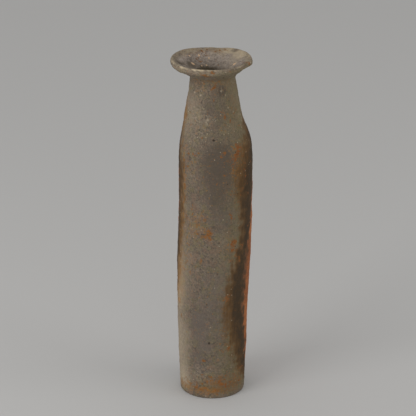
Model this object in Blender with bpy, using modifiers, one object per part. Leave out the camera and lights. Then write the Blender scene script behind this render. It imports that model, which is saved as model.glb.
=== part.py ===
"""A tall, slender bottle of unglazed wood-fired stoneware, with a flared dish mouth.

It is one thrown piece: a hollow body on a flat foot, a shoulder that turns into a tapering neck, and
a dish-shaped mouth with a thick lip. The kiln bent it a little, so its axis leans and its rim dips.
Metres, +Z up. The origin is the centre of the standing face, and the bottle's front faces -Y.
"""

import math

import bpy
from mathutils import Vector

# Outer radii, at the corners of the profile
FOOT_RADIUS = 0.0276
BODY_RADIUS = 0.0309
NECK_FOOT_RADIUS = 0.0246
WAIST_RADIUS = 0.0184
LIP_RADIUS = 0.0335

# Heights, each from the corner below it
SWELL_RISE = 0.100
BODY_RISE = 0.129
SHOULDER_RISE = 0.0165
NECK_RISE = 0.0386
FLARE_RISE = 0.0099
LIP_FACE = 0.0054

# Clay thicknesses
WALL = 0.005
NECK_WALL = 0.0076
FLOOR = 0.007
DISH_WALL = 0.0028

# How far from its corner each rounding starts, along the runs that meet there
FOOT_EASE = 0.0012
SWELL_EASE = 0.060
SHOULDER_EASE = 0.018
NECK_FOOT_EASE = 0.008
WAIST_EASE = 0.003
LIP_EASE = 0.0024
THROAT_EASE = 0.005
FLOOR_EASE = 0.007

# How far along +X the kiln moved the axis, at the top of each stretch, and where the first one lies
BOW_START = 0.060
BOW_RISE = 0.125
BODY_SHIFT = 0.0027
NECK_SHIFT = 0.0006
WAIST_SHIFT = 0.0002
LIP_SHIFT = -0.0010

# The mouth tilts up to the right and back, its rim sags at the back, and its lip is thinner from below
# at the right. Each turn is measured from +X towards +Y.
MOUTH_TILT = 0.0004
MOUTH_TILT_TURN = math.radians(30)
RIM_SAG = 0.0012
RIM_SAG_TURN = math.radians(85)
LIP_THINNING = 0.0005
LIP_THINNING_TURN = math.radians(-15)

# How finely the form is divided
SEGMENTS = 48
ROUNDING_STEPS = 5
LONGEST_RUN = 0.012

# Colour and finish of the fired clay
CLAY_COLOUR = (0.118, 0.097, 0.076, 1.0)
CLAY_ROUGHNESS = 0.82


def clear_scene():
    for obj in list(bpy.data.objects):
        bpy.data.objects.remove(obj, do_unlink=True)


def heights():
    """Heights of the profile's corners above the standing face, summed from the rises."""
    swell = SWELL_RISE
    shoulder = swell + BODY_RISE
    neck_foot = shoulder + SHOULDER_RISE
    waist = neck_foot + NECK_RISE
    lip_under = waist + FLARE_RISE
    lip_top = lip_under + LIP_FACE
    return swell, shoulder, neck_foot, waist, lip_under, lip_top


def outside_corners():
    """Corners (radius, height, ease) from the middle of the lip's face down to the foot's centre."""
    swell, shoulder, neck_foot, waist, lip_under, lip_top = heights()
    return [
        (LIP_RADIUS, (lip_under + lip_top) / 2, 0.0),
        (LIP_RADIUS, lip_under, LIP_EASE),
        (WAIST_RADIUS, waist, WAIST_EASE),
        (NECK_FOOT_RADIUS, neck_foot, NECK_FOOT_EASE),
        (BODY_RADIUS, shoulder, SHOULDER_EASE),
        (BODY_RADIUS, swell, SWELL_EASE),
        (FOOT_RADIUS, 0.0, FOOT_EASE),
        (0.0, 0.0, 0.0),
    ]


def inside_corners():
    """Corners from the floor's centre up to the middle of the lip's face, a wall within the outside."""
    swell, shoulder, neck_foot, waist, lip_under, lip_top = heights()
    return [
        (0.0, FLOOR, 0.0),
        (FOOT_RADIUS - WALL, FLOOR, FLOOR_EASE),
        (BODY_RADIUS - WALL, swell, SWELL_EASE),
        (BODY_RADIUS - WALL, shoulder, SHOULDER_EASE),
        (NECK_FOOT_RADIUS - WALL, neck_foot, NECK_FOOT_EASE),
        (WAIST_RADIUS - NECK_WALL, waist + DISH_WALL, THROAT_EASE),
        (LIP_RADIUS, lip_top, LIP_EASE),
        (LIP_RADIUS, (lip_under + lip_top) / 2, 0.0),
    ]


def toward(point, ease, neighbour, neighbour_ease):
    """The point that far along the run to a neighbour. Two roundings that would meet share the run."""
    run = neighbour - point
    return point + run.normalized() * min(ease, run.length * ease / (ease + neighbour_ease))


def rounded(corners):
    """The outline through the corners, with a parabola in place of each corner that has an ease."""
    points = [Vector((radius, height)) for radius, height, _ in corners]
    eases = [ease for _, _, ease in corners]
    outline = []
    for index, (point, ease) in enumerate(zip(points, eases)):
        if ease == 0.0:
            outline.append(point)
            continue
        start = toward(point, ease, points[index - 1], eases[index - 1])
        end = toward(point, ease, points[index + 1], eases[index + 1])
        for step in range(ROUNDING_STEPS + 1):
            t = step / ROUNDING_STEPS
            outline.append(start * (1 - t) ** 2 + point * 2 * t * (1 - t) + end * t**2)
    return outline


def divided(outline):
    """The outline with points added so that no run is over LONGEST_RUN, which lets the form bend."""
    finer = [outline[0]]
    for point in outline[1:]:
        start = finer[-1]
        run = point - start
        pieces = math.ceil(run.length / LONGEST_RUN)
        finer += [start + run * (piece / pieces) for piece in range(1, pieces + 1)]
    return finer


def profile_object():
    """The section as edges in the XZ plane: down the outside, under the foot and up the inside. It
    closes at the lip's face and is open along the axis, between the foot and the floor."""
    outside = divided(rounded(outside_corners()))
    inside = divided(rounded(inside_corners()))
    loop = outside + inside[:-1]
    edges = [(index, (index + 1) % len(loop)) for index in range(len(loop))]
    edges.remove((len(outside) - 1, len(outside)))
    mesh = bpy.data.meshes.new("profile")
    mesh.from_pydata([(radius, 0.0, height) for radius, height in loop], edges, [])
    profile = bpy.data.objects.new("profile", mesh)
    bpy.context.scene.collection.objects.link(profile)
    screw = profile.modifiers.new("throwing", "SCREW")
    screw.steps = screw.render_steps = SEGMENTS
    screw.use_merge_vertices = True
    screw.merge_threshold = 0.00001
    screw.use_smooth_shade = True
    return profile


def smooth_step(low, high, value):
    t = min(1.0, max(0.0, (value - low) / (high - low)))
    return t * t * (3 - 2 * t)


def axis_shift(height):
    """Sideways shift of the axis at a height: a slow bow up the body, and back through the shoulder,
    the neck and the flare."""
    _, shoulder, neck_foot, waist, lip_under, _ = heights()
    neck_straight = neck_foot + NECK_FOOT_EASE
    stretches = [
        (BOW_START, BOW_START + BOW_RISE, BODY_SHIFT),
        (shoulder, neck_straight, NECK_SHIFT - BODY_SHIFT),
        (neck_straight, waist, WAIST_SHIFT - NECK_SHIFT),
        (waist, lip_under, LIP_SHIFT - WAIST_SHIFT),
    ]
    return sum(change * smooth_step(low, high, height) for low, high, change in stretches)


def mouth_lift(point):
    """How far a point of the mouth stands above its turned height: the tilt and the sag grow from the
    waist to the lip, and the thinning lifts the lip's underside and leaves its top where it was."""
    _, _, _, waist, lip_under, lip_top = heights()
    turn = math.atan2(point.y, point.x)
    share = smooth_step(waist, lip_under, point.z)
    under = share * (1 - smooth_step(lip_under, lip_top, point.z))
    tilt = MOUTH_TILT * share * math.cos(turn - MOUTH_TILT_TURN)
    sag = RIM_SAG * share * max(0.0, math.cos(turn - RIM_SAG_TURN)) ** 3
    thinning = LIP_THINNING * under * max(0.0, math.cos(turn - LIP_THINNING_TURN))
    return tilt - sag + thinning


def clay_material():
    material = bpy.data.materials.new("wood_fired_stoneware")
    material.use_nodes = True
    shader = material.node_tree.nodes["Principled BSDF"]
    shader.inputs["Base Color"].default_value = CLAY_COLOUR
    shader.inputs["Roughness"].default_value = CLAY_ROUGHNESS
    shader.inputs["Metallic"].default_value = 0.0
    return material


def make_bottle():
    """Turns the profile, then moves the turned mesh by the kiln's bow, tilt and sag."""
    profile = profile_object()
    graph = bpy.context.evaluated_depsgraph_get()
    mesh = bpy.data.meshes.new_from_object(profile.evaluated_get(graph))
    mesh.name = "bottle"
    bpy.data.objects.remove(profile, do_unlink=True)
    for vertex in mesh.vertices:
        lift = mouth_lift(vertex.co)
        vertex.co.x += axis_shift(vertex.co.z)
        vertex.co.z += lift
    mesh.shade_smooth()
    mesh.set_sharp_from_angle(angle=math.radians(40))
    mesh.materials.append(clay_material())
    bottle = bpy.data.objects.new("bottle", mesh)
    collection = bpy.data.collections.new("stoneware_bottle")
    bpy.context.scene.collection.children.link(collection)
    collection.objects.link(bottle)


def main():
    clear_scene()
    make_bottle()


main()
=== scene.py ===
import math

import bpy
import numpy as np
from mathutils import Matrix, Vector


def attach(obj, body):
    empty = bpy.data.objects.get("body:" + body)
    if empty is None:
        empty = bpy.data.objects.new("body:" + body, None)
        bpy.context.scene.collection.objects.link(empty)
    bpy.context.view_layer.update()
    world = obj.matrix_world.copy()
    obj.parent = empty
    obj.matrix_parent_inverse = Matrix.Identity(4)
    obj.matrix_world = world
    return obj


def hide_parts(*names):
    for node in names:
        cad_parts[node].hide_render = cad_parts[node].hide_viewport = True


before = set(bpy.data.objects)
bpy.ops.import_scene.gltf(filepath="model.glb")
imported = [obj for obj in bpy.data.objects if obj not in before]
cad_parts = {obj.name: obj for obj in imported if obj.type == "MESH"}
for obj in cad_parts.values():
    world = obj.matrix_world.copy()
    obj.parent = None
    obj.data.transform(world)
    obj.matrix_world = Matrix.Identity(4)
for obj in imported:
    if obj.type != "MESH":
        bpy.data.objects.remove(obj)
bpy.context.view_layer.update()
print("frame loaded:", sorted(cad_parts))

mm = 0.001


# Camera: a long lens that looks down on the bottle, from a little to the left of its middle
cameraSize = {
    "left": 3.7,        # mm from the bottle's axis
    "back": 1663.1,     # mm in front of the bottle
    "height": 825.6,    # mm above the floor
    "lookDown": 21.638,  # degrees
    "lens": 183.26,     # mm
    "sensor": 36.0,     # mm wide
}


def makeCamera(size):
    lens = bpy.data.cameras.new("camera")
    lens.lens = size["lens"]
    lens.sensor_width = size["sensor"]
    lens.clip_start, lens.clip_end = 0.05, 50.0
    camera = bpy.data.objects.new("camera", lens)
    camera.location = (-size["left"] * mm, -size["back"] * mm, size["height"] * mm)
    camera.rotation_euler = (math.radians(90 - size["lookDown"]), 0, 0)
    bpy.context.scene.collection.objects.link(camera)
    bpy.context.scene.camera = camera


makeCamera(cameraSize)
print("camera placed")


# Colours and nodes
def paint(hexColour):
    # An sRGB hex colour turned linear: c / 12.92 near black, ((c + 0.055) / 1.055) ^ 2.4 above it
    parts = [int(hexColour[place:place + 2], 16) / 255 for place in (1, 3, 5)]
    linear = [c / 12.92 if c <= 0.04045 else ((c + 0.055) / 1.055) ** 2.4 for c in parts]
    return (*linear, 1.0)


def addNode(material, kind, settings=None, inputs=None, stops=None):
    # Adds one node with its settings, its linked or plain inputs and, for a ramp, its stops
    tree = material.node_tree
    node = tree.nodes.new(kind)
    count = len(tree.nodes)
    node.location = (count % 9 * 220 - 2200, 900 - count // 9 * 320)
    for name, value in (settings or {}).items():
        setattr(node, name, value)
    for place, value in (inputs or {}).items():
        if isinstance(value, bpy.types.NodeSocket):
            tree.links.new(value, node.inputs[place])
        else:
            node.inputs[place].default_value = value
    for index, (position, colour) in enumerate(stops or []):
        ramp = node.color_ramp.elements
        stop = ramp[index] if index < 2 else ramp.new(position)
        stop.position, stop.color = position, colour
    return node


# Shape of the bottle, the same sizes as its solid
bottleSize = {          # mm
    "footRadius": 27.6,
    "bodyRadius": 30.9,
    "neckFootRadius": 24.6,
    "waistRadius": 18.4,
    "lipRadius": 33.5,
    "swellRise": 100.0,
    "bodyRise": 129.0,
    "shoulderRise": 16.5,
    "neckRise": 38.6,
    "flareRise": 9.9,
    "lipFace": 5.4,
    "wall": 5.0,
    "neckWall": 7.6,
    "floor": 7.0,
    "dishWall": 2.8,
    "footEase": 1.2,
    "swellEase": 60.0,
    "shoulderEase": 18.0,
    "neckFootEase": 8.0,
    "waistEase": 3.0,
    "lipEase": 2.4,
    "throatEase": 5.0,
    "floorEase": 7.0,
    "bowStart": 60.0,
    "bowRise": 125.0,
    "bodyShift": 2.7,
    "neckShift": 0.6,
    "waistShift": 0.2,
    "lipShift": -1.0,
    "mouthTilt": 0.4,
    "mouthTiltTurn": 120.0,     # degrees from the front, towards the right
    "rimSag": 1.2,
    "rimSagTurn": 175.0,
    "lipThinning": 0.5,
    "lipThinningTurn": 75.0,
    "columns": 240,             # of vertices round the bottle
}

spacingAlong = {    # mm between rings, at each corner of the outline
    "footCentre": 4.0,
    "foot": 0.5,
    "swell": 1.25,
    "shoulder": 1.2,
    "neckFoot": 1.1,
    "waist": 0.7,
    "lipUnder": 0.5,
    "lipTop": 0.5,
    "throat": 0.9,
    "innerNeckFoot": 5.0,
    "innerShoulder": 6.0,
    "innerSwell": 8.0,
    "floorCorner": 3.0,
    "floorCentre": 4.0,
}


def smoothStep(low, high, value):
    # 0 up to low, 1 from high on, and 3t^2 - 2t^3 between
    t = np.clip((value - low) / (high - low), 0, 1)
    return t * t * (3 - 2 * t)


def cornerHeights(size):
    # The height of each outer corner is the sum of the rises up to it
    names = ("swellRise", "bodyRise", "shoulderRise", "neckRise", "flareRise", "lipFace")
    return np.cumsum([size[name] for name in names])


def outlineCorners(size):
    # Corners (radius, height, ease), under the foot, up the outside, over the lip and down the inside
    swell, shoulder, neckFoot, waist, lipUnder, lipTop = cornerHeights(size)
    return np.array([
        (0, 0, 0),
        (size["footRadius"], 0, size["footEase"]),
        (size["bodyRadius"], swell, size["swellEase"]),
        (size["bodyRadius"], shoulder, size["shoulderEase"]),
        (size["neckFootRadius"], neckFoot, size["neckFootEase"]),
        (size["waistRadius"], waist, size["waistEase"]),
        (size["lipRadius"], lipUnder, size["lipEase"]),
        (size["lipRadius"], lipTop, size["lipEase"]),
        (size["waistRadius"] - size["neckWall"], waist + size["dishWall"], size["throatEase"]),
        (size["neckFootRadius"] - size["wall"], neckFoot, size["neckFootEase"]),
        (size["bodyRadius"] - size["wall"], shoulder, size["shoulderEase"]),
        (size["bodyRadius"] - size["wall"], swell, size["swellEase"]),
        (size["footRadius"] - size["wall"], size["floor"], size["floorEase"]),
        (0, size["floor"], 0),
    ])


def roundedOutline(corners, steps=40):
    # Each corner becomes the parabola s(1-t)^2 + 2pt(1-t) + et^2 between the points an ease before it
    # and after it. The label counts the corners passed, and grows evenly between them.
    points, eases = corners[:, :2], corners[:, 2]
    t = np.linspace(0, 1, steps)[:, None]
    outline, label = [points[:1]], [[0.0]]
    for corner in range(1, len(points) - 1):
        ends = []
        for other in (corner - 1, corner + 1):
            run = points[other] - points[corner]
            length = np.linalg.norm(run)
            reach = min(eases[corner], length * eases[corner] / (eases[corner] + eases[other]))
            ends.append(points[corner] + run * reach / length)
        outline.append(ends[0] * (1 - t) ** 2 + points[corner] * 2 * t * (1 - t) + ends[1] * t ** 2)
        label.append(corner + np.linspace(-0.1, 0.1, steps))
    outline.append(points[-1:])
    label.append([len(points) - 1.0])
    return np.concatenate(outline), np.concatenate(label)


def spacedOutline(size, spacing):
    # Rings are laid where the integral of 1 / spacing along the outline reaches whole steps
    outline, label = roundedOutline(outlineCorners(size))
    fine = np.linspace(0, 1, 12, endpoint=False)
    place = np.append((np.arange(len(outline) - 1)[:, None] + fine).ravel(), len(outline) - 1)
    index = np.arange(len(outline))
    radius, height = (np.interp(place, index, outline[:, axis]) for axis in (0, 1))
    label = np.interp(place, index, label)
    step = np.hypot(np.diff(radius), np.diff(height))
    along = np.insert(np.cumsum(step), 0, 0)
    wanted = np.interp(label, np.arange(len(spacing)), list(spacing.values()))
    rings = np.insert(np.cumsum(step * 2 / (wanted[1:] + wanted[:-1])), 0, 0)
    whole = np.linspace(0, rings[-1], round(rings[-1]) + 1)
    return [np.interp(whole, rings, values) for values in (radius, height, label, along)]


def axisShift(size, height):
    # The sideways shift of the axis, to the right: a slow bow up the body, then back above it
    _, shoulder, neckFoot, waist, lipUnder, _ = cornerHeights(size)
    straight = neckFoot + size["neckFootEase"]
    bow = smoothStep(size["bowStart"], size["bowStart"] + size["bowRise"], height)
    return (
        size["bodyShift"] * bow
        + (size["neckShift"] - size["bodyShift"]) * smoothStep(shoulder, straight, height)
        + (size["waistShift"] - size["neckShift"]) * smoothStep(straight, waist, height)
        + (size["lipShift"] - size["waistShift"]) * smoothStep(waist, lipUnder, height)
    )


def mouthLift(size, turn, height):
    # The mouth's tilt and the sag at its back grow from the waist to the lip, and the lip's underside
    # is lifted at its thinner side
    *_, waist, lipUnder, lipTop = cornerHeights(size)
    share = smoothStep(waist, lipUnder, height)
    under = share * (1 - smoothStep(lipUnder, lipTop, height))

    def facing(place):
        return np.cos(turn - math.radians(size[place]))

    tilt = size["mouthTilt"] * share * facing("mouthTiltTurn")
    sag = size["rimSag"] * share * np.maximum(0, facing("rimSagTurn")) ** 3
    thinning = size["lipThinning"] * under * np.maximum(0, facing("lipThinningTurn"))
    return tilt - sag + thinning


# Relief of the thrown and fired surface
reliefSize = {              # mm, and degrees of turn from the front towards the right
    "meanRadius": 30.0,
    "ringsOutside": 0.05,   # throwing rings that the maker's fingers left
    "ringsInside": 0.35,
    "ringPitch": 7.0,
    "ringStray": 0.9,       # radians of their wave by which the rings wander from level
    "ringStrayLength": 45.0,
    "lumps": 0.10,          # broad lumps of the hand-thrown wall
    "lumpLength": 24.0,
    "sand": 0.035,          # coarse sand under the skin
    "sandLength": 3.2,
    "lipWander": 0.10,      # how far the lip strays from a true circle
    "lipWanderLength": 26.0,
    "lipRippleLength": 8.0,
    "grit": 0.18,           # single grains and the pits of lost ones
    "gritCount": 260,
    "gritRadius": 0.6,
    "scrapes": 0.25,        # rings that the cutting of the foot left under it
    "scrapePitch": 3.1,
    "scrapeStray": 0.8,     # radians
    "scrapeStrayLength": 30.0,
}

marks = [   # turn, height, half width, half height (mm, where it falls to half), rise (mm)
    (23.5, 275.2, 5.3, 4.6, -1.0),      # a finger's dent on the neck
    (23.0, 275.4, 0.6, 3.2, 0.45),      # the ridge of clay in it
    (66.7, 297.6, 1.3, 1.1, -0.6),      # a chip in the lip
    (0.9, 296.1, 0.9, 0.6, -0.2),       # a flake off the lip's face
    (20.1, 289.8, 0.9, 0.5, -0.35),     # a nick under the lip
    (-9.6, 253.1, 0.8, 0.7, 0.3),       # grains on the shoulder
    (-13.7, 249.7, 0.9, 0.7, 0.3),
    (16.6, 245.8, 0.8, 0.7, 0.28),
    (-41.4, 162.1, 0.7, 0.9, 0.25),
    (-122.5, 290.6, 0.8, 0.7, 0.35),    # grains in the dish
    (105.9, 291.3, 0.8, 0.7, 0.35),
    (-155.7, 294.2, 0.7, 0.7, 0.3),
    (-174.2, 292.5, 0.7, 0.6, 0.3),
    (-2.1, 236.5, 0.7, 0.7, -0.6),      # pinholes
    (-5.5, 53.3, 0.6, 0.6, -0.6),
    (61.0, 291.4, 8.0, 2.0, -1.5),      # the flare is thinner at both sides
    (70.0, 287.2, 9.0, 1.8, -1.0),
    (82.0, 295.0, 8.0, 2.4, 0.5),       # and the lip above it a little fuller
    (-74.0, 291.0, 9.0, 2.0, -0.6),
    (-90.0, 272.0, 13.0, 6.0, -0.5),    # the neck and the body stray a little from the round
    (90.0, 266.0, 12.0, 4.0, -0.4),
    (-90.0, 128.0, 16.0, 22.0, 0.5),
    (90.0, 130.0, 16.0, 20.0, 0.3),
    (90.0, 46.0, 14.0, 8.0, 0.6),
    (92.0, 236.5, 12.0, 6.0, -0.5),     # a flat on the shoulder
    (-125.0, 299.6, 12.0, 2.0, 0.45),   # the lip's top wanders
    (-18.0, 299.4, 8.0, 2.0, 0.4),
    (20.0, 299.4, 4.0, 2.0, 0.3),
    (145.0, 299.6, 7.0, 2.4, 0.24),
    (169.0, 299.6, 4.0, 2.0, -0.4),
]

toolLine = {        # mm and degrees: a line that a tool scored above the foot
    "turn": 18,
    "height": 24.0,
    "slope": 0.08,      # mm up for each degree to the right
    "reach": 48,        # degrees to either side
    "width": 0.9,
    "depth": 0.22,
}


def waves(turn, along, length, seed, count=28):
    # The sum of random cosine waves of about one length, over the square root of half their number. Whole
    # numbers of them go round the bottle, so that they close.
    random = np.random.default_rng(seed)
    heading = random.uniform(0, 2 * math.pi, count)
    pitch = 2 * math.pi / (length * random.uniform(0.7, 1.5, count))
    around = np.round(reliefSize["meanRadius"] * pitch * np.cos(heading))
    upward = pitch * np.sin(heading)
    phase = random.uniform(0, 2 * math.pi, count)
    total = sum(np.cos(a * turn + u * along + p) for a, u, p in zip(around, upward, phase))
    return total / math.sqrt(count / 2)


def spot(turn, height, radius, place, halfWidth, halfHeight):
    # 1 in the middle of an ellipse on the wall, half at its edge and 0 at twice as far, as a cosine falls
    degreesAway = (np.degrees(turn) - place[0] + 180) % 360 - 180
    across = np.radians(degreesAway) * radius / halfWidth
    q = np.clip(np.hypot(across, (height - place[1]) / halfHeight), 0, 2)
    return 0.5 + 0.5 * np.cos(math.pi * q / 2)


def labelMasks(label):
    # Where the grid is under the foot, on the outside, on the lip, in the dish and inside, from 0 to 1.
    # The label is 1 at the foot, 2 to 4 up to the neck's foot, 5 at the waist, 6 and 7 at the lip's
    # underside and top, 8 at the throat, and up to 13 at the middle of the floor.
    def between(low, high, soft=0.12):
        return smoothStep(low - soft, low + soft, label) * (1 - smoothStep(high - soft, high + soft, label))

    return {
        "under": 1 - smoothStep(0.75, 0.95, label),
        "outside": between(1.15, 6.6),
        "lip": between(5.9, 7.3),
        "dish": between(7.25, 8.3),
        "inside": between(8.3, 12.6),
    }


def reliefOf(turn, radius, height, along, masks):
    # The sum of what the wheel, the maker's hands, the sand and the kiln did to the wall, in mm
    size = reliefSize
    outside, lip, dish, inside = (masks[name] for name in ("outside", "lip", "dish", "inside"))
    ring = 0
    for share, seed in ((1.0, 3), (0.62, 4), (0.41, 5)):
        phase = np.random.default_rng(seed).uniform(0, 6)
        stray = size["ringStray"] * waves(turn, along, size["ringStrayLength"], seed + 10)
        turns = 2 * math.pi * along / (size["ringPitch"] * share)
        ring = ring + share * np.cos(turns + turn + phase + stray)
    relief = ring * (size["ringsOutside"] * outside + size["ringsInside"] * inside)
    relief += size["lumps"] * waves(turn, along, size["lumpLength"], 21) * (outside + inside + 0.6 * dish)
    relief += size["lumps"] * 0.6 * waves(turn, along, size["lumpLength"] * 0.4, 22) * (outside + dish)
    relief += size["sand"] * waves(turn, along, size["sandLength"], 23, count=60) * (outside + lip + dish)
    relief += size["lipWander"] * waves(turn, along, size["lipWanderLength"], 24) * lip
    relief += size["lipWander"] * 0.4 * waves(turn, along, size["lipRippleLength"], 25) * lip

    random = np.random.default_rng(31)
    for _ in range(size["gritCount"]):
        place = (random.uniform(-180, 180), random.uniform(4, 296))
        reach = size["gritRadius"] * random.uniform(0.7, 1.6)
        rise = size["grit"] * random.uniform(0.3, 1.2) * random.choice([1, 1, -1])
        relief += rise * spot(turn, height, radius, place, reach, reach) * (outside + dish)

    for markTurn, markHeight, halfWidth, halfHeight, rise in marks:
        where = (markTurn, markHeight)
        relief += rise * spot(turn, height, radius, where, halfWidth, halfHeight) * (outside + dish + lip)

    line = toolLine
    degrees = np.degrees(turn)
    level = line["height"] + line["slope"] * (degrees - line["turn"])
    fade = 1 - smoothStep(line["reach"] * 0.6, line["reach"], np.abs(degrees - line["turn"]))
    groove = np.exp(-((height - level) / line["width"]) ** 2)
    relief -= line["depth"] * groove * fade * outside

    stray = size["scrapeStray"] * waves(turn, along, size["scrapeStrayLength"], 41)
    scrape = 0.5 + 0.5 * np.cos(2 * math.pi * radius / size["scrapePitch"] + stray)
    relief -= size["scrapes"] * scrape * masks["under"] * smoothStep(0, 4, radius)
    return relief


def gridNormals(points):
    # The cross product of the steps round the bottle and along the outline
    roundStep = np.roll(points, -1, axis=1) - np.roll(points, 1, axis=1)
    alongStep = np.gradient(points, axis=0)
    normal = np.cross(roundStep, alongStep)
    return normal / np.maximum(np.linalg.norm(normal, axis=2, keepdims=True), 1e-12)


def closedGrid(name, rings, bottomCentre, topCentre, attributes):
    # Quads between neighbouring rings, and a fan of triangles at each pole
    ringCount, columns, _ = rings.shape
    index = 1 + np.arange(ringCount * columns).reshape(ringCount, columns)
    beside = np.roll(index, -1, axis=1)
    last = ringCount * columns + 1
    quads = np.stack([index[:-1], beside[:-1], beside[1:], index[1:]], axis=-1).reshape(-1, 4)
    bottomFan = np.stack([np.zeros(columns, int), beside[0], index[0]], axis=-1)
    topFan = np.stack([np.full(columns, last), index[-1], beside[-1]], axis=-1)
    points = np.concatenate([[bottomCentre], rings.reshape(-1, 3), [topCentre]])
    corners = np.concatenate([bottomFan.ravel(), quads.ravel(), topFan.ravel()])
    sizes = np.repeat([3, 4, 3], [columns, len(quads), columns])
    mesh = bpy.data.meshes.new(name)
    mesh.vertices.add(len(points))
    mesh.vertices.foreach_set("co", points.astype(np.float32).ravel())
    mesh.loops.add(len(corners))
    mesh.loops.foreach_set("vertex_index", corners.astype(np.int32))
    mesh.polygons.add(len(sizes))
    mesh.polygons.foreach_set("loop_start", np.insert(np.cumsum(sizes)[:-1], 0, 0).astype(np.int32))
    mesh.update(calc_edges=True)
    mesh.validate()
    for field, values in attributes.items():
        flat = np.concatenate([[values[0].mean()], values.ravel(), [values[-1].mean()]])
        mesh.attributes.new(field, "FLOAT", "POINT").data.foreach_set("value", flat.astype(np.float32))
    mesh.shade_smooth()
    return mesh


# Marks that the fire left, as fields over the wall, with painted light and painted shade among them
fireRight = [   # height (mm), then degrees from the front where brown, black and orange begin
    (4, 90, 118, 150), (12, 66, 90, 122), (22, 46, 72, 92), (32, 38, 60, 77), (42, 32, 55, 73),
    (52, 27, 50, 70), (64, 21, 44, 66), (77, 15, 40, 64), (90, 14, 38, 62), (103, 16, 36, 64),
    (118, 24, 40, 63), (130, 31, 47, 65), (143, 38, 53, 68), (152, 38, 56, 72), (165, 39, 54, 75),
    (178, 36, 53, 80), (190, 31, 51, 85), (202, 29, 54, 92), (212, 30, 62, 98), (222, 35, 70, 106),
    (232, 46, 84, 118), (247, 70, 105, 140), (258, 85, 125, 165), (272, 115, 165, 210),
]
fireLeft = [    # the same on the left
    (10, 110, 140, 170), (35, 104, 130, 150), (60, 94, 115, 132), (85, 84, 104, 122),
    (100, 77, 96, 114), (115, 69, 88, 104), (128, 64, 83, 97), (140, 61, 80, 91), (150, 60, 79, 88),
    (175, 57, 78, 85), (205, 57, 77, 85), (216, 60, 78, 92), (226, 66, 84, 106), (234, 74, 96, 124),
    (246, 84, 112, 150), (260, 108, 155, 195),
]

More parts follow.
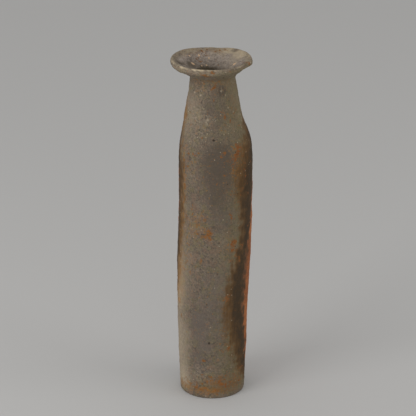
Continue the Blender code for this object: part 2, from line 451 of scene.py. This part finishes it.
blooms = [  # turn, height, half width, half height (mm), strength: orange flecks where iron burst
    (13.4, 226.0, 1.5, 0.9, 1.2), (8.2, 222.8, 1.2, 1.0, 1.2), (37.3, 228.9, 1.3, 3.2, 0.95),
    (35.3, 223.0, 1.6, 3.4, 1.1), (31.5, 219.5, 1.4, 2.6, 0.9), (28.5, 215.5, 1.2, 2.0, 0.7),
    (25.0, 218.6, 1.8, 1.0, 0.45), (34.6, 232.6, 1.4, 0.8, 0.65), (-48.2, 211.4, 1.3, 1.0, 1.15),
    (-53.0, 210.8, 1.0, 0.8, 1.0), (-54.6, 193.0, 1.2, 2.2, 0.8), (-9.7, 214.7, 1.2, 1.2, 0.6),
    (1.1, 199.1, 1.3, 1.0, 0.7), (-57.5, 177.5, 1.2, 1.6, 0.5), (-38.6, 175.1, 1.2, 4.0, 0.5),
    (-51.6, 165.0, 2.0, 3.6, 0.55), (-30.7, 161.7, 2.4, 1.3, 0.8), (-15.7, 167.4, 1.8, 1.6, 0.7),
    (-10.5, 155.1, 2.6, 3.6, 1.0), (-18.3, 151.1, 2.2, 1.6, 0.95), (-28.6, 153.2, 4.0, 1.0, 0.7),
    (-8.0, 150.4, 2.0, 1.8, 0.8), (22.0, 171.5, 1.2, 1.4, 0.7), (25.5, 167.6, 1.2, 2.2, 0.9),
    (9.2, 168.6, 2.0, 1.4, 0.45), (30.4, 144.0, 2.0, 3.4, 1.0), (28.0, 138.4, 1.9, 1.7, 0.85),
    (35.0, 137.6, 2.2, 1.5, 0.75), (47.2, 139.5, 1.5, 2.8, 0.7), (36.0, 131.6, 1.4, 2.0, 0.6),
    (26.3, 129.5, 1.4, 1.8, 0.7), (42.0, 128.0, 1.5, 2.4, 0.6), (22.2, 93.9, 2.4, 2.2, 1.0),
    (27.0, 97.5, 2.2, 1.4, 0.5), (29.0, 46.4, 1.1, 1.8, 1.15), (24.5, 50.6, 3.2, 0.8, 0.5),
    (-15.3, 36.5, 1.1, 1.9, 1.15), (-18.3, 14.0, 1.3, 0.9, 0.9), (13.6, 15.4, 1.8, 1.8, 1.15),
    (17.5, 12.2, 1.8, 1.5, 0.95), (8.5, 4.4, 1.7, 1.5, 0.95), (-19.6, 7.3, 1.8, 1.6, 0.95),
    (-13.3, 10.4, 1.5, 1.2, 0.85), (-28.6, 10.2, 1.4, 1.6, 1.15), (-41.6, 10.8, 1.5, 1.6, 0.95),
    (-5.6, 5.2, 1.6, 1.1, 0.8), (23.4, 11.0, 1.5, 1.1, 0.8), (-1.6, 21.0, 1.3, 1.1, 0.8),
    (-1.6, 18.6, 1.1, 1.1, 0.7), (17.6, 21.2, 1.4, 0.8, 0.65), (18.8, 18.4, 1.1, 1.2, 0.8),
    (8.6, 8.4, 1.2, 1.2, 0.9), (-71.6, 3.8, 1.4, 1.6, 0.8), (-56.6, 4.9, 1.3, 1.2, 0.7),
    (28.0, 5.5, 2.0, 1.2, 0.5), (39.2, 20.8, 1.1, 1.8, 0.6), (34.0, 12.0, 3.2, 2.6, 0.5),
    (0.9, 296.7, 2.0, 0.9, 0.95), (-8.5, 293.2, 4.6, 0.6, 0.9), (12.5, 283.2, 0.9, 0.9, 0.8),
    (8.8, 281.6, 1.1, 1.1, 1.0), (5.0, 280.0, 1.3, 1.3, 1.2), (1.4, 278.6, 1.3, 1.2, 1.2),
    (-1.6, 277.4, 1.1, 0.9, 1.0), (-5.0, 284.8, 1.4, 0.7, 0.6), (-23.8, 282.0, 1.3, 1.0, 0.7),
    (3.3, 268.8, 0.8, 1.6, 0.7), (-44.0, 284.6, 1.4, 1.0, 0.7), (25.2, 254.3, 0.9, 1.3, 0.95),
    (33.8, 250.2, 1.1, 1.0, 1.1), (24.8, 248.0, 0.8, 1.0, 0.8), (25.1, 257.8, 0.8, 0.7, 0.6),
    (19.0, 239.2, 1.0, 1.2, 0.6), (-23.4, 238.2, 1.0, 0.8, 1.2), (-48.3, 222.5, 1.0, 0.9, 1.15),
    (-39.7, 223.9, 0.8, 0.8, 1.1), (-28.6, 224.9, 0.8, 0.8, 1.0), (-33.9, 222.5, 0.9, 0.8, 0.8),
    (-41.7, 173.2, 0.8, 1.6, 0.8), (-38.5, 168.8, 0.9, 1.4, 0.8), (-50.8, 179.5, 0.8, 1.4, 0.6),
    (-33.0, 176.7, 0.8, 0.8, 0.5), (60.0, 23.6, 3.2, 1.6, 0.85), (-54.7, 255.6, 1.2, 1.2, 0.5),
    (-147.5, 292.3, 1.1, 0.9, 1.0), (160.0, 297.4, 2.6, 0.8, 0.4), (66.7, 297.6, 1.6, 1.4, 0.9),
    (170.0, 296.1, 1.6, 0.7, 0.4), (-150.0, 288.6, 1.0, 0.7, 0.6), (-163.7, 296.6, 1.0, 0.7, 0.8),
    (-173.9, 296.6, 1.4, 0.6, 0.8), (-167.5, 294.4, 1.0, 0.8, 0.8), (161.9, 288.1, 1.0, 0.7, 0.8),
    (-134.8, 294.9, 0.9, 0.7, 0.7),
]

creams = [  # turn, height, half width, half height (mm), strength: pale grains, most in the dish
    (-120.3, 290.9, 1.0, 0.8, 1.3), (101.1, 291.6, 1.0, 0.9, 1.3), (-155.4, 294.4, 0.8, 0.7, 1.2),
    (-135.2, 295.1, 0.8, 0.7, 0.9), (-128.5, 295.7, 0.7, 0.6, 0.7), (-174.6, 292.5, 0.8, 0.7, 0.9),
    (-160.4, 288.4, 0.7, 0.6, 1.0), (-141.4, 288.5, 0.7, 0.6, 0.9), (-167.2, 296.1, 0.7, 0.6, 0.7),
    (145.0, 292.0, 0.6, 0.6, 0.5), (128.9, 291.7, 0.6, 0.6, 0.5), (111.9, 294.5, 0.7, 0.6, 0.5),
    (66.0, 298.4, 0.8, 0.6, 0.8), (-9.6, 253.1, 0.8, 0.7, 0.5), (-13.7, 249.7, 0.8, 0.7, 0.4),
    (-70.0, 86.0, 1.6, 3.2, 0.55),
]

specks = [  # turn, height, half width, half height (mm), strength: where fine ochre specks lie thickest
    (-58.0, 195.0, 4.0, 46.0, 0.9), (-50.0, 140.0, 6.0, 26.0, 0.8), (-30.0, 160.0, 13.0, 15.0, 0.8),
    (-62.0, 118.0, 5.0, 20.0, 0.7), (-70.0, 85.0, 3.5, 9.0, 0.9), (-45.0, 211.0, 12.0, 8.0, 0.8),
    (40.0, 206.0, 9.0, 19.0, 1.0), (52.0, 222.0, 8.0, 14.0, 0.9), (32.0, 226.0, 6.0, 9.0, 0.9),
    (32.0, 138.0, 9.0, 14.0, 0.9), (28.0, 92.0, 8.0, 11.0, 0.7), (34.0, 60.0, 8.0, 22.0, 0.4),
    (0.0, 4.0, 26.0, 8.0, 1.0), (-55.0, 8.0, 12.0, 9.0, 0.8), (50.0, 15.0, 12.0, 12.0, 0.8),
    (25.0, 250.0, 10.0, 15.0, 0.5), (-12.0, 246.0, 17.0, 15.0, 0.4), (-15.0, 278.0, 12.0, 9.0, 0.5),
    (10.0, 282.0, 8.0, 6.0, 0.6), (0.0, 205.0, 20.0, 24.0, 0.3), (150.0, 120.0, 50.0, 90.0, 0.4),
    (-120.0, 200.0, 40.0, 60.0, 0.4),
]

bloomScatter = [    # turns from, to, heights from, to, how many, strength: small flecks strewn at random
    (-62, -20, 112, 178, 30, 0.55), (14, 50, 176, 232, 30, 0.55), (-60, 62, 1, 24, 60, 0.7),
    (-60, 60, 180, 262, 20, 0.45), (60, 300, 4, 292, 150, 0.6), (-50, 30, 30, 110, 6, 0.35),
    (-180, 180, 288, 298, 24, 0.4), (24, 60, 184, 224, 30, 0.6),
]

ochres = [  # turn, height, half width, half height (mm), strength: ochre stains
    (46.0, 206.0, 3.0, 6.0, 0.9), (40.0, 195.0, 3.0, 9.0, 0.6), (50.0, 224.0, 7.0, 10.0, 0.7),
    (38.0, 180.0, 2.4, 12.0, 0.4), (27.5, 82.0, 2.2, 3.4, 0.9), (56.0, 24.0, 4.5, 3.4, 1.0),
    (-58.5, 190.0, 1.0, 34.0, 1.1), (-68.0, 232.0, 1.2, 9.0, 0.8), (-61.0, 150.0, 0.9, 16.0, 0.8),
    (-62.0, 132.3, 1.0, 3.6, 1.0), (-68.0, 120.0, 3.0, 14.0, 0.8), (-76.0, 102.0, 2.4, 12.0, 0.8),
    (-70.0, 85.5, 2.4, 3.6, 1.1), (76.0, 238.0, 3.0, 6.0, 0.7), (50.0, 262.0, 6.0, 14.0, 0.3),
    (-80.0, 250.0, 5.0, 13.0, 1.0), (-68.0, 156.0, 5.0, 28.0, 0.8), (-78.0, 108.0, 5.0, 22.0, 0.9),
    (40.0, 208.0, 7.0, 12.0, 0.75), (28.0, 200.0, 5.0, 12.0, 0.25), (48.0, 196.0, 6.0, 12.0, 0.75),
    (4.0, 6.0, 15.0, 6.0, 1.0), (35.0, 12.0, 13.0, 10.0, 0.6), (-24.0, 5.0, 12.0, 5.0, 0.9),
    (-60.0, 5.0, 16.0, 5.0, 0.9), (2.0, 285.0, 12.0, 4.0, 0.45), (64.0, 26.0, 6.0, 12.0, 0.7),
    (30.0, 66.0, 8.0, 26.0, 0.5), (24.0, 88.0, 4.0, 9.0, 0.7), (30.0, 282.0, 8.0, 5.0, 0.35),
    (-36.0, 282.0, 9.0, 5.0, 0.4), (-150.0, 296.8, 14.0, 1.6, 0.4), (168.0, 297.0, 9.0, 1.2, 0.5),
    (24.0, 150.0, 5.0, 10.0, 0.25), (-30.0, 160.0, 10.0, 12.0, 0.35), (14.0, 14.0, 16.0, 8.0, 0.6),
]

smokesAndShade = [  # turn, height, half width, half height (mm), strength: dark smoke stains, and painted shade in the neck's dent, under the lip's left side and on the dish's left wall
    (6.0, 221.0, 13.0, 14.0, 1.35), (2.0, 196.0, 11.0, 22.0, 1.0), (12.0, 205.0, 9.0, 14.0, 1.0),
    (27.0, 212.0, 10.0, 20.0, 0.75), (10.0, 178.0, 16.0, 26.0, 0.5), (45.0, 12.0, 12.0, 8.0, 0.45),
    (20.0, 234.0, 13.0, 10.0, 0.55), (8.0, 10.0, 24.0, 9.0, 0.4), (27.0, 82.0, 5.0, 14.0, 0.5),
    # the last spot here is painted shade in the finger's dent on the neck
    (-3.0, 160.2, 1.6, 1.2, 1.3), (6.0, 160.0, 7.0, 8.0, 0.45), (23.5, 275.2, 4.6, 4.2, 1.4),
    # painted shade: under the lip's left side, then on the dish's left side, which faces away from the key
    # lamp
    (-60.0, 283.0, 22.0, 4.0, 0.8), (-84.0, 294.6, 6.0, 1.6, 1.0), (-108.0, 291.0, 8.0, 2.2, 0.8),
    # the first two are more painted shade on the dish's left wall
    (-148.0, 285.6, 9.0, 1.4, 1.4), (-128.0, 286.6, 7.0, 1.6, 1.1), (8.0, 262.0, 13.0, 26.0, 0.65),
    (5.0, 212.0, 16.0, 27.0, 1.1), (0.0, 281.0, 10.0, 3.0, 0.6),
]

mauves = [  # turn, height, half width, half height (mm), strength: cooler grey of the reducing fire
    (0.0, 82.0, 18.0, 36.0, 0.7), (-22.0, 70.0, 9.0, 18.0, 1.1), (-14.0, 54.0, 9.0, 12.0, 0.8),
    (-24.0, 34.0, 8.0, 12.0, 0.9), (0.0, 110.0, 14.0, 14.0, 0.6), (2.0, 215.0, 12.0, 12.0, 0.6),
    (12.0, 168.0, 9.0, 9.0, 0.7), (-14.0, 256.0, 9.0, 14.0, 0.5), (-6.0, 186.0, 10.0, 10.0, 0.5),
]

holes = [   # turn, height, half width, half height (mm), strength: pinholes and a nick, painted dark as shade
    (-2.6, 236.5, 1.2, 1.0, 1.0), (-5.5, 53.3, 0.9, 0.9, 1.2), (21.0, 289.0, 1.0, 0.5, 0.8),
]

ashesAndLight = [   # turn, height, half width, half height (mm), strength: pale ash that fell from above, and painted light
    # the dish's right wall, which faces the key lamp, is painted light, with the ash there
    (122.0, 297.0, 12.0, 3.6, 1.15), (150.0, 297.0, 14.0, 3.0, 1.0), (100.0, 298.4, 8.0, 2.6, 1.0),
    # after two more on the dish, a painted highlight runs along the lip's top, strongest at the left and
    # front, with the ash there
    (112.0, 293.0, 9.0, 3.4, 0.6), (82.0, 299.0, 10.0, 2.2, 1.0), (-94.0, 299.6, 14.0, 1.3, 0.7),
    (-58.0, 299.2, 18.0, 1.2, 1.25), (-142.0, 298.0, 20.0, 1.6, 0.75),
    (178.0, 297.6, 14.0, 1.6, 0.7), (-15.0, 299.2, 16.0, 1.2, 1.3), (15.0, 299.2, 14.0, 1.1, 1.0),
    # after the lip, the lower left is painted paler for the light from the left, with the ash there
    (45.0, 299.2, 12.0, 1.0, 0.8), (-72.0, 44.0, 7.0, 34.0, 0.5), (-70.0, 14.0, 12.0, 14.0, 0.65),
    (-22.0, 22.0, 10.0, 11.0, 0.35), (-76.0, 80.0, 6.0, 8.0, 0.5), (-72.0, 82.0, 5.0, 8.0, 0.5),
    (-74.0, 88.0, 6.0, 10.0, 0.6), (-49.0, 273.9, 1.1, 1.0, 0.9), (-30.1, 272.0, 1.1, 1.0, 0.9),
    # the last spot is a painted highlight on the ridge in the neck's dent
    (-9.6, 253.1, 0.9, 0.9, 1.1), (-13.7, 249.7, 0.9, 0.8, 0.9), (23.0, 275.8, 0.6, 3.6, 0.5),
    (-30.0, 254.0, 8.0, 8.0, 0.35), (-11.0, 252.0, 5.0, 5.0, 0.35), (150.0, 240.0, 30.0, 20.0, 0.7),
    (-140.0, 60.0, 20.0, 30.0, 0.5), (175.0, 130.0, 8.0, 60.0, 0.5),
]


def strongest(turn, height, radius, spots):
    # At each point the largest of the spots' cosine falls, each times its strength
    field = np.zeros(np.broadcast(turn, height).shape)
    for spotTurn, spotHeight, halfWidth, halfHeight, strength in spots:
        here = spot(turn, height, radius, (spotTurn, spotHeight), halfWidth, halfHeight)
        field = np.maximum(field, strength * here)
    return field


def scattered(scatter, seed):
    # Small spots at random places of each patch, most of them weaker than its strength
    random = np.random.default_rng(seed)
    spots = []
    for turnFrom, turnTo, heightFrom, heightTo, count, strength in scatter:
        for _ in range(count):
            reach = random.uniform(0.5, 1.5)
            place = (random.uniform(turnFrom, turnTo), random.uniform(heightFrom, heightTo))
            halfHeight = reach * random.uniform(0.7, 1.5)
            spots.append((*place, reach, halfHeight, strength * random.uniform(0.5, 1.15)))
    return spots


orangeRun = 22      # degrees from where the orange begins to its full strength


def fireField(turn, height):
    # Below 0 on grey stone; brown begins at 0, black at 1 and orange at 2, and it is full at 3.
    # Each side grows evenly between its edges, and the smaller of the two sides counts.
    sides = []
    for edges, direction in ((fireRight, 1), (fireLeft, -1)):
        heights, *starts = np.array(edges, float).T
        brown, black, orange = (np.interp(height, heights, start) for start in starts)
        away = np.degrees(turn) * direction % 360
        sides.append(
            np.clip((away - brown) / (black - brown), -1, 1)
            + np.clip((away - black) / (orange - black), 0, 1)
            + np.clip((away - orange) / orangeRun, 0, 1)
        )
    return np.minimum(*sides)


tintHeights = {     # heights (mm), and what the tint's strength or edge is at each
    # the left side is painted paler, for pale ash and for the key lamp's light
    "leftStart": ([60, 75, 90, 115, 150, 235], [0.46, 0.56, 0.46, 0.38, 0.38, 0.3]),
    "left": (
        [0, 20, 40, 75, 95, 130, 160, 232, 248, 266, 278],
        [1.25, 1.1, 0.95, 0.85, 0.6, 0.5, 0.1, 0, 0.4, 0.5, 0],
    ),
    "tan": ([75, 95, 118, 138, 180, 225, 240], [0, 0.9, 0.8, 0.4, 0.5, 0.15, 0]),
    # painted shade in the dish, strongest at the throat
    "throatShade": ([284, 287, 290, 293, 297], [1, 0.8, 0.5, 0.3, 0]),
}


def makeBottle():
    # Each point is the outline's radius turned round the shifted axis, at the outline's height and the
    # mouth's lift, and then moved along the surface's normal by the relief
    size = bottleSize
    radius, height, label, along = (values[1:-1, None] for values in spacedOutline(size, spacingAlong))
    turn = np.linspace(-math.pi, math.pi, size["columns"], endpoint=False)[None, :]
    masks = labelMasks(label)
    shift = axisShift(size, height)
    lift = mouthLift(size, turn, height)
    rings = np.stack(np.broadcast_arrays(
        shift + radius * np.sin(turn), -radius * np.cos(turn), height + lift), axis=-1)
    relief = reliefOf(turn, radius, height, along, masks)
    rings = rings + gridNormals(rings) * relief[:, :, None]

    # The fields are read at places that wander by about a millimetre, so that their edges are ragged
    strayAround = 1.1 * waves(turn, along, 9.0, 51) + 0.5 * waves(turn, along, 4.0, 52)
    strayTurn = strayAround / np.maximum(radius, 5)
    strayHeight = 1.2 * waves(turn, along, 9.0, 53) + 0.6 * waves(turn, along, 4.0, 54)
    place = (turn + strayTurn, height + strayHeight)
    nearPlace = (turn + 0.45 * strayTurn, height + 0.45 * strayHeight)
    skin = np.clip(masks["outside"] + masks["lip"] + masks["dish"], 0, 1)
    leftStart, left, tan, throatShade = (np.interp(height, *table) for table in tintHeights.values())
    leftSide = smoothStep(leftStart, leftStart + 0.47, -np.sin(turn)) * masks["outside"]
    leftEdge = smoothStep(0.66, 0.98, -np.sin(turn)) * masks["outside"]
    shaded = 4 * masks["under"] * (1 - smoothStep(10, 27, radius))   # the kiln's shelf kept the fire off
    fields = {
        "fire": np.where(label < 6.2, fireField(*place) - shaded, -1.0),
        "bloom": strongest(*nearPlace, radius, blooms + scattered(bloomScatter, 61)) * skin,
        "ochre": strongest(*nearPlace, radius, ochres) * skin,
        "smokeAndShade": strongest(*nearPlace, radius, smokesAndShade) * skin,
        "mauve": strongest(*place, radius, mauves) * masks["outside"],
        "ashAndLight": strongest(*nearPlace, radius, ashesAndLight) * skin,
        "sandy": smoothStep(205, 245, place[1]) * masks["outside"],
        "hole": strongest(turn, height, radius, holes) * masks["outside"],
        "cream": strongest(turn, height, radius, creams) * skin,
        "speck": strongest(*place, radius, specks) * skin,
        # painted light: ash on the lip, stronger towards the left, where the key lamp is, and towards the
        # top
        "lip": masks["lip"] * smoothStep(-1.1, 0.1, -np.sin(turn)) * smoothStep(293.0, 300.0, height),
        "dish": masks["dish"] + 0 * turn,
        "inside": masks["inside"] + 0 * turn,
        "right": smoothStep(-0.3, 0.9, np.sin(turn)) * masks["outside"],
        # paler on the left side: pale ash, and painted light from the key lamp
        "left": leftSide * left,
        "tan": leftEdge * tan,
        # painted shade: the dish darkens towards the throat
        "throatShade": masks["dish"] * throatShade + 0 * turn,
    }
    mesh = closedGrid("bottle_skin", rings * mm, (0, 0, 0), (0, 0, size["floor"] * mm), fields)
    bottle = bpy.data.objects.new("bottle_skin", mesh)
    bpy.context.scene.collection.objects.link(bottle)
    triangles = sum(len(polygon.vertices) - 2 for polygon in mesh.polygons)
    print("bottle:", len(mesh.vertices), "vertices,", triangles, "triangles")
    return bottle


# Wood-fired stoneware: a coarse iron-bearing clay with no glaze. It is matte, mottled grey-brown where
# ash and smoke reached it, and burnt orange with a scorched edge where the flame passed it by.
clayColours = {
    "stoneLight": "#75695b",
    "stoneDark": "#433c35",
    "rosy": "#6e594a",
    "olive": "#696040",
    "smokeAndShade": "#4c433a",
    "oliveSootAndShade": "#4d4434",
    "ashAndLight": "#a3957f",
    "whiteAshAndLight": "#bfae92",
    "tan": "#a5845a",
    "paleAshAndLight": "#a29582",
    "ochre": "#704e23",
    "ochreLit": "#866236",
    "fireBrown": "#573f24",
    "scorch": "#392c1e",
    "emberDeep": "#583d2a",
    "ember": "#8c512c",
    "emberPale": "#a0643a",
    "bloomBrown": "#6a4e33",
    "bloom": "#79441c",
    "bloomLit": "#7d5024",
    "bloomHeart": "#4d2d16",
    "grain": "#a89c86",
    "cream": "#cfae8b",
    "pitShade": "#2a221b",
    "mauve": "#5a524c",
    "dishLight": "#b8ab9f",
    "dishDark": "#6e635a",
    # painted shade: the dark inside of the neck
    "inside": "#3a3029",
}

clayGrain = {       # mm
    "patches": 30.0,
    "mottle": 5.0,
    "tint": 6.0,
    "speckle": 1.9,     # single sand grains are about 0.5 mm, drawn this coarse so that they show
    "sand": 1.1,
    "ragged": 2.6,
    "streaks": 2.6,
    "rust": 2.0,
    "paleGrains": 3.6,
    "pits": 7.5,
}


def stonewareMaterial():
    material = bpy.data.materials.new("wood_fired_stoneware")
    material.use_nodes = True
    shader = material.node_tree.nodes["Principled BSDF"]
    colour = {name: paint(value) for name, value in clayColours.items()}
    place = addNode(material, "ShaderNodeTexCoord").outputs["Object"]

    def moved(offset, scale=(1, 1, 1)):
        # Object coordinates, shifted so that no two patterns match and squeezed along the streaks
        return addNode(material, "ShaderNodeMapping", inputs={
            "Vector": place, "Location": (offset, offset * 0.7, offset * 1.3), "Scale": scale,
        }).outputs["Vector"]

    def noise(size, detail=3.0, rough=0.55, source=place):
        return addNode(material, "ShaderNodeTexNoise", inputs={
            "Vector": source, "Scale": 1000 / size, "Detail": detail, "Roughness": rough,
        }).outputs["Fac"]

    def field(name):
        return addNode(material, "ShaderNodeAttribute", {"attribute_name": name}).outputs["Fac"]

    def calculate(operation, *values):
        inputs = dict(enumerate(values))
        return addNode(material, "ShaderNodeMath", {"operation": operation}, inputs).outputs[0]

    def swing(value, amount, start=0.0):
        # The noise's swing about its middle, times an amount, added to a start
        return calculate("ADD", calculate("MULTIPLY_ADD", value, amount, -amount / 2), start)

    def ease(value, low, high, toLow=0.0, toHigh=1.0):
        # A smooth step between two results, as the value goes from low to high
        return addNode(material, "ShaderNodeMapRange", {"interpolation_type": "SMOOTHSTEP"}, {
            "Value": value, "From Min": low, "From Max": high, "To Min": toLow, "To Max": toHigh,
        }).outputs["Result"]

    def blend(factor, first, second):
        return addNode(material, "ShaderNodeMix", {"data_type": "RGBA"}, {
            0: factor, 6: first, 7: second,
        }).outputs[2]

    patches = noise(clayGrain["patches"], 2.0)
    mottle = noise(clayGrain["mottle"], 3.0)
    speckle = noise(clayGrain["speckle"], 3.0, 0.6)
    sand = noise(clayGrain["sand"], 2.0, 0.6, source=moved(0.23))
    tint = noise(clayGrain["tint"], 5.0, 0.65, source=moved(0.4))
    rust = noise(clayGrain["rust"], 3.0, 0.6, source=moved(0.13))
    ragged = noise(clayGrain["ragged"], 3.0, 0.6, source=moved(0.31))
    streaks = noise(clayGrain["streaks"], 4.0, 0.6, source=moved(0.17, (1, 1, 0.14)))

    # Grey-brown stone with a fine mottling, olive towards the right, and paler towards the left with pale
    # ash and painted light from the key lamp's side
    tone = swing(sand, 1.5, swing(speckle, 1.4, swing(mottle, 1.1, swing(patches, 0.9, 0.5))))
    base = blend(tone, colour["stoneDark"], colour["stoneLight"])
    base = blend(ease(tint, 0.5, 0.62, 0.0, 0.5), base, colour["rosy"])
    base = blend(ease(tint, 0.5, 0.4, 0.0, 0.4), base, colour["olive"])
    strewn = calculate("MULTIPLY", field("sandy"), ease(sand, 0.38, 0.66, 0.04, 0.22))
    base = blend(strewn, base, colour["ashAndLight"])
    base = blend(calculate("MULTIPLY", field("right"), 0.4), base, colour["olive"])
    base = blend(field("dish"), base, blend(tone, colour["dishDark"], colour["dishLight"]))
    # painted shade: the dish darkens towards the throat
    base = blend(calculate("MULTIPLY", field("throatShade"), 0.6), base, colour["oliveSootAndShade"])
    base = blend(ease(swing(ragged, 0.7, field("left")), -0.1, 1.2, 0.0, 0.42), base, colour["paleAshAndLight"])
    base = blend(ease(swing(ragged, 0.9, field("tan")), 0.0, 1.2, 0.0, 0.45), base, colour["tan"])
    # painted light: the lip is paler towards its left and its top, which face the lamps, with ash there
    base = blend(calculate("MULTIPLY", field("lip"), ease(tone, -0.4, 1.2, 0.1, 0.55)), base, colour["ashAndLight"])

    # Smoke, ash and ochre stains, with painted shade and painted light among the smoke and the ash
    base = blend(ease(swing(mottle, 0.9, field("mauve")), 0.05, 1.1, 0.0, 0.7), base, colour["mauve"])
    sootAndShade = blend(field("dish"), colour["smokeAndShade"], colour["oliveSootAndShade"])
    base = blend(ease(swing(mottle, 0.8, field("smokeAndShade")), 0.05, 1.1, 0.0, 0.82), base, sootAndShade)
    # the strongest ash turns white, much of it painted light on the lip's rim and the dish's right wall
    dustAndLight = blend(ease(field("ashAndLight"), 0.7, 1.2), colour["ashAndLight"], colour["whiteAshAndLight"])
    base = blend(ease(swing(speckle, 1.1, field("ashAndLight")), 0.05, 1.1, 0.0, 0.75), base, dustAndLight)
    stain = blend(ease(field("right"), -0.3, 0.4), colour["ochreLit"], colour["ochre"])
    rusted = swing(sand, 1.8, swing(ragged, 1.3, field("ochre")))
    base = blend(ease(rusted, 0.1, 1.1, 0.0, 0.8), base, stain)

    flecked = calculate("MULTIPLY_ADD", field("speck"), 0.23, rust)
    base = blend(ease(flecked, 0.7, 0.8, 0.0, 0.6), base, colour["ochreLit"])
    base = blend(ease(flecked, 0.79, 0.86, 0.0, 0.6), base, colour["bloom"])

    # The orange back, with a brown and then a scorched edge
    fire = swing(streaks, 1.4, swing(ragged, 0.4, field("fire")))
    hot = blend(ease(swing(mottle, 1.6, patches), 0.4, 0.75), colour["ember"], colour["emberPale"])
    hot = blend(ease(swing(speckle, 1.2, patches), 0.5, 0.25, 0.0, 0.8), hot, colour["emberDeep"])
    edge = addNode(material, "ShaderNodeMapRange", inputs={
        "Value": fire, "From Min": -1.0, "From Max": 3.0,
    })
    burnt = addNode(material, "ShaderNodeValToRGB", inputs={"Fac": edge.outputs["Result"]}, stops=[
        (0.35, colour["fireBrown"]), (0.52, colour["scorch"]),
        (0.66, colour["scorch"]), (0.72, colour["emberDeep"]),
    ]).outputs["Color"]
    burnt = blend(ease(tint, 0.5, 0.62, 0.0, 0.35), burnt, colour["fireBrown"])
    burnt = blend(ease(swing(streaks, 0.4, field("fire")), 1.8, 2.2), burnt, hot)
    base = blend(ease(fire, -0.3, 0.7, 0.0, 0.95), base, burnt)

    # Iron blooms: a brown stain, an orange middle and at the largest a dark heart
    stained = swing(ragged, 0.9, field("bloom"))
    burst = swing(sand, 3.2, swing(ragged, 1.0, field("bloom")))
    base = blend(ease(stained, 0.15, 0.7, 0.0, 0.55), base, colour["bloomBrown"])
    ironColour = blend(field("right"), colour["bloomLit"], colour["bloom"])
    base = blend(ease(burst, 0.5, 0.85, 0.0, 0.9), base, ironColour)
    base = blend(ease(burst, 1.05, 1.25, 0.0, 0.5), base, colour["bloomHeart"])

    # Sand: pale grains, most of them on the shoulder, and pits painted dark as shade
    def dots(size, reach, offset, share):
        # A round dot in the middle of some of the cells, as the share says
        cells = addNode(material, "ShaderNodeTexVoronoi", inputs={
            "Vector": moved(offset), "Scale": 1000 / size,
        })
        near = ease(cells.outputs["Distance"], reach, reach * 0.4)
        chance = addNode(material, "ShaderNodeSeparateColor", inputs={0: cells.outputs["Color"]}).outputs[0]
        return calculate("MULTIPLY", near, calculate("LESS_THAN", chance, share))

    grains = dots(clayGrain["paleGrains"], 0.2, 0.2, ease(field("sandy"), 0, 1, 0.16, 0.5))
    pits = dots(clayGrain["pits"], 0.10, 0.5, 0.5)
    base = blend(calculate("MULTIPLY", grains, 0.5), base, colour["grain"])
    # painted shade in the pits
    base = blend(calculate("MULTIPLY", pits, 0.7), base, colour["pitShade"])
    # painted shade in the pinholes and the nick under the lip
    base = blend(ease(field("hole"), 0.2, 0.8, 0.0, 0.9), base, colour["pitShade"])
    base = blend(ease(field("cream"), 0.3, 0.9, 0.0, 0.95), base, colour["cream"])
    # painted shade: the inside of the neck is painted dark
    base = blend(calculate("MULTIPLY", field("inside"), 0.9), base, colour["inside"])

    # Relief too fine for the mesh
    rise = calculate("MULTIPLY_ADD", speckle, 0.6, calculate("MULTIPLY", sand, 0.5))
    rise = calculate("MULTIPLY_ADD", grains, 0.7, rise)
    rise = calculate("MULTIPLY_ADD", pits, -1.4, rise)
    bump = addNode(material, "ShaderNodeBump", inputs={
        "Height": rise, "Strength": 0.6, "Distance": 0.3 * mm,
    })

    links = material.node_tree.links
    links.new(base, shader.inputs["Base Color"])
    links.new(ease(mottle, 0.3, 0.7, 0.78, 0.92), shader.inputs["Roughness"])
    links.new(bump.outputs["Normal"], shader.inputs["Normal"])
    shader.inputs["Specular IOR Level"].default_value = 0.2
    return material


bottle = makeBottle()
bottle.data.materials.append(stonewareMaterial())
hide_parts("bottle")
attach(bottle, "root")
print("bottle dressed")


# Floor and light
studio = {
    "floorHalf": 6.0,           # m
    "floorColour": "#c3c2c0",
    "sky": 0.55,                # strength of the even light all round
    "keyPlace": (-1.20, -1.00, 0.50),
    "keySize": 1.0,
    "keyPower": 14.0,           # W
    "fillPlace": (1.6, -0.6, 0.4),
    "fillSize": 1.2,
    "fillPower": 10.0,
    "frontPlace": (0.2, -1.8, 0.12),
    "frontSize": 0.8,
    "frontPower": 5.0,
    "aim": (0, 0, 0.15),        # the bottle's middle, where the lamps point
}


def makeFloor(size):
    half = size["floorHalf"]
    mesh = bpy.data.meshes.new("floor")
    corners = [(-half, -half, 0), (half, -half, 0), (half, half, 0), (-half, half, 0)]
    mesh.from_pydata(corners, [], [(0, 1, 2, 3)])
    floor = bpy.data.objects.new("floor", mesh)
    bpy.context.scene.collection.objects.link(floor)
    paper = bpy.data.materials.new("matte_paper")     # a plain, pale backdrop
    paper.use_nodes = True
    shader = paper.node_tree.nodes["Principled BSDF"]
    shader.inputs["Base Color"].default_value = paint(size["floorColour"])
    shader.inputs["Roughness"].default_value = 0.9
    floor.data.materials.append(paper)


def makeLamp(name, place, size, power):
    light = bpy.data.lights.new(name, "AREA")
    light.shape = "SQUARE"
    light.size = size
    light.energy = power
    lamp = bpy.data.objects.new(name, light)
    lamp.location = place
    lamp.rotation_euler = (Vector(studio["aim"]) - Vector(place)).to_track_quat("-Z", "Y").to_euler()
    bpy.context.scene.collection.objects.link(lamp)


def makeSky(strength):
    world = bpy.data.worlds.new("studio")
    world.use_nodes = True
    world.node_tree.nodes["Background"].inputs["Color"].default_value = (1, 1, 1, 1)
    world.node_tree.nodes["Background"].inputs["Strength"].default_value = strength
    bpy.context.scene.world = world


makeFloor(studio)
makeLamp("key", studio["keyPlace"], studio["keySize"], studio["keyPower"])
makeLamp("fill", studio["fillPlace"], studio["fillSize"], studio["fillPower"])
makeLamp("front", studio["frontPlace"], studio["frontSize"], studio["frontPower"])
makeSky(studio["sky"])
bpy.context.scene.view_settings.view_transform = "Standard"
print("studio lit")
